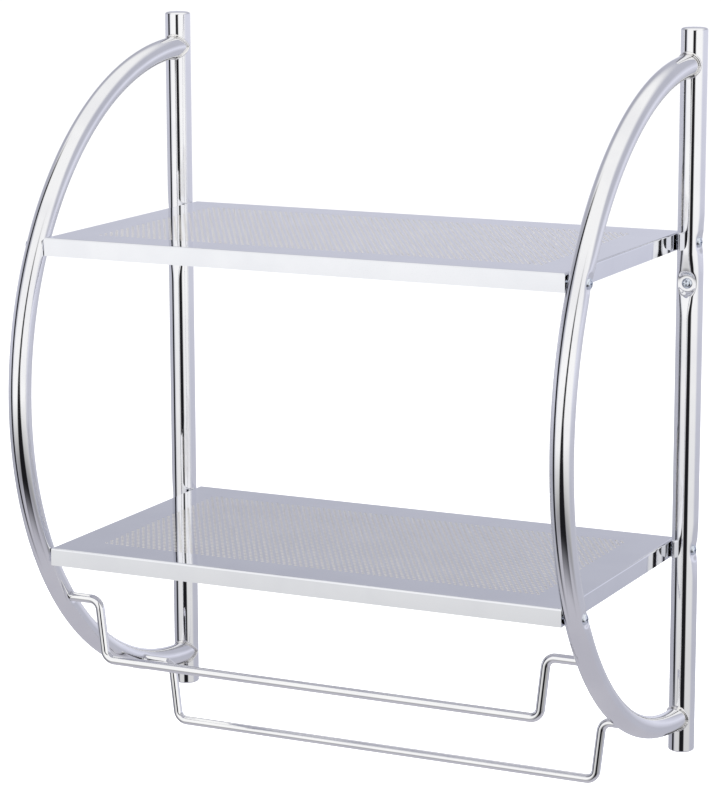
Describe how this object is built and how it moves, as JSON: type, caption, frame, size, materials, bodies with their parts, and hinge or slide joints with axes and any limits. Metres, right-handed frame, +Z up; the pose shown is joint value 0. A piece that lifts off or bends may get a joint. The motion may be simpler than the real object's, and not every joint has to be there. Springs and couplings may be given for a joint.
{
  "type": "towel rack",
  "caption": "Wall rack with curved chrome tube sides, perforated tray shelves and hanging wire towel bars.",
  "frame": {"origin": "on the wall plane, midway between the two wall screws", "axes": "+X to the right seen from the front, +Y into the wall, +Z up"},
  "size_m": [0.455, 0.2819, 0.5631],
  "materials": {
    "chrome_tube": "mirror chrome plate",
    "chrome_sheet": "mirror chrome plate on perforated sheet",
    "chrome_wire": "mirror chrome plate",
    "weld": "plated weld bead, slightly warm",
    "zinc_screw": "bright zinc plate, slightly blue"
  },
  "bodies": {
    "rack": {"left_upright": "chrome_tube", "left_bow": "chrome_tube", "left_frame_welds": "weld", "left_top_plug": "chrome_tube", "left_foot_plug": "chrome_tube", "right_upright": "chrome_tube", "right_bow": "chrome_tube", "right_frame_welds": "weld", "right_top_plug": "chrome_tube", "right_foot_plug": "chrome_tube", "upper_shelf": "chrome_sheet", "upper_shelf_front_screws": "zinc_screw", "upper_shelf_rear_screws": "zinc_screw", "upper_shelf_nuts": "zinc_screw", "lower_shelf": "chrome_sheet", "lower_shelf_front_screws": "zinc_screw", "lower_shelf_rear_screws": "zinc_screw", "lower_shelf_nuts": "zinc_screw", "wall_screws": "zinc_screw"},
    "front_bar": {"front_towel_bar": "chrome_wire"},
    "rear_bar": {"rear_towel_bar": "chrome_wire"}
  },
  "joints": [
    {"name": "front_bar_swing", "type": "hinge", "parent": "rack", "child": "front_bar", "pos_m": [0, -0.20496, -0.244], "axis": [1, 0, 0], "range_deg": [-127, 150]},
    {"name": "rear_bar_swing", "type": "hinge", "parent": "rack", "child": "rear_bar", "pos_m": [0, -0.09306, -0.3233], "axis": [1, 0, 0], "continuous": true}
  ]
}
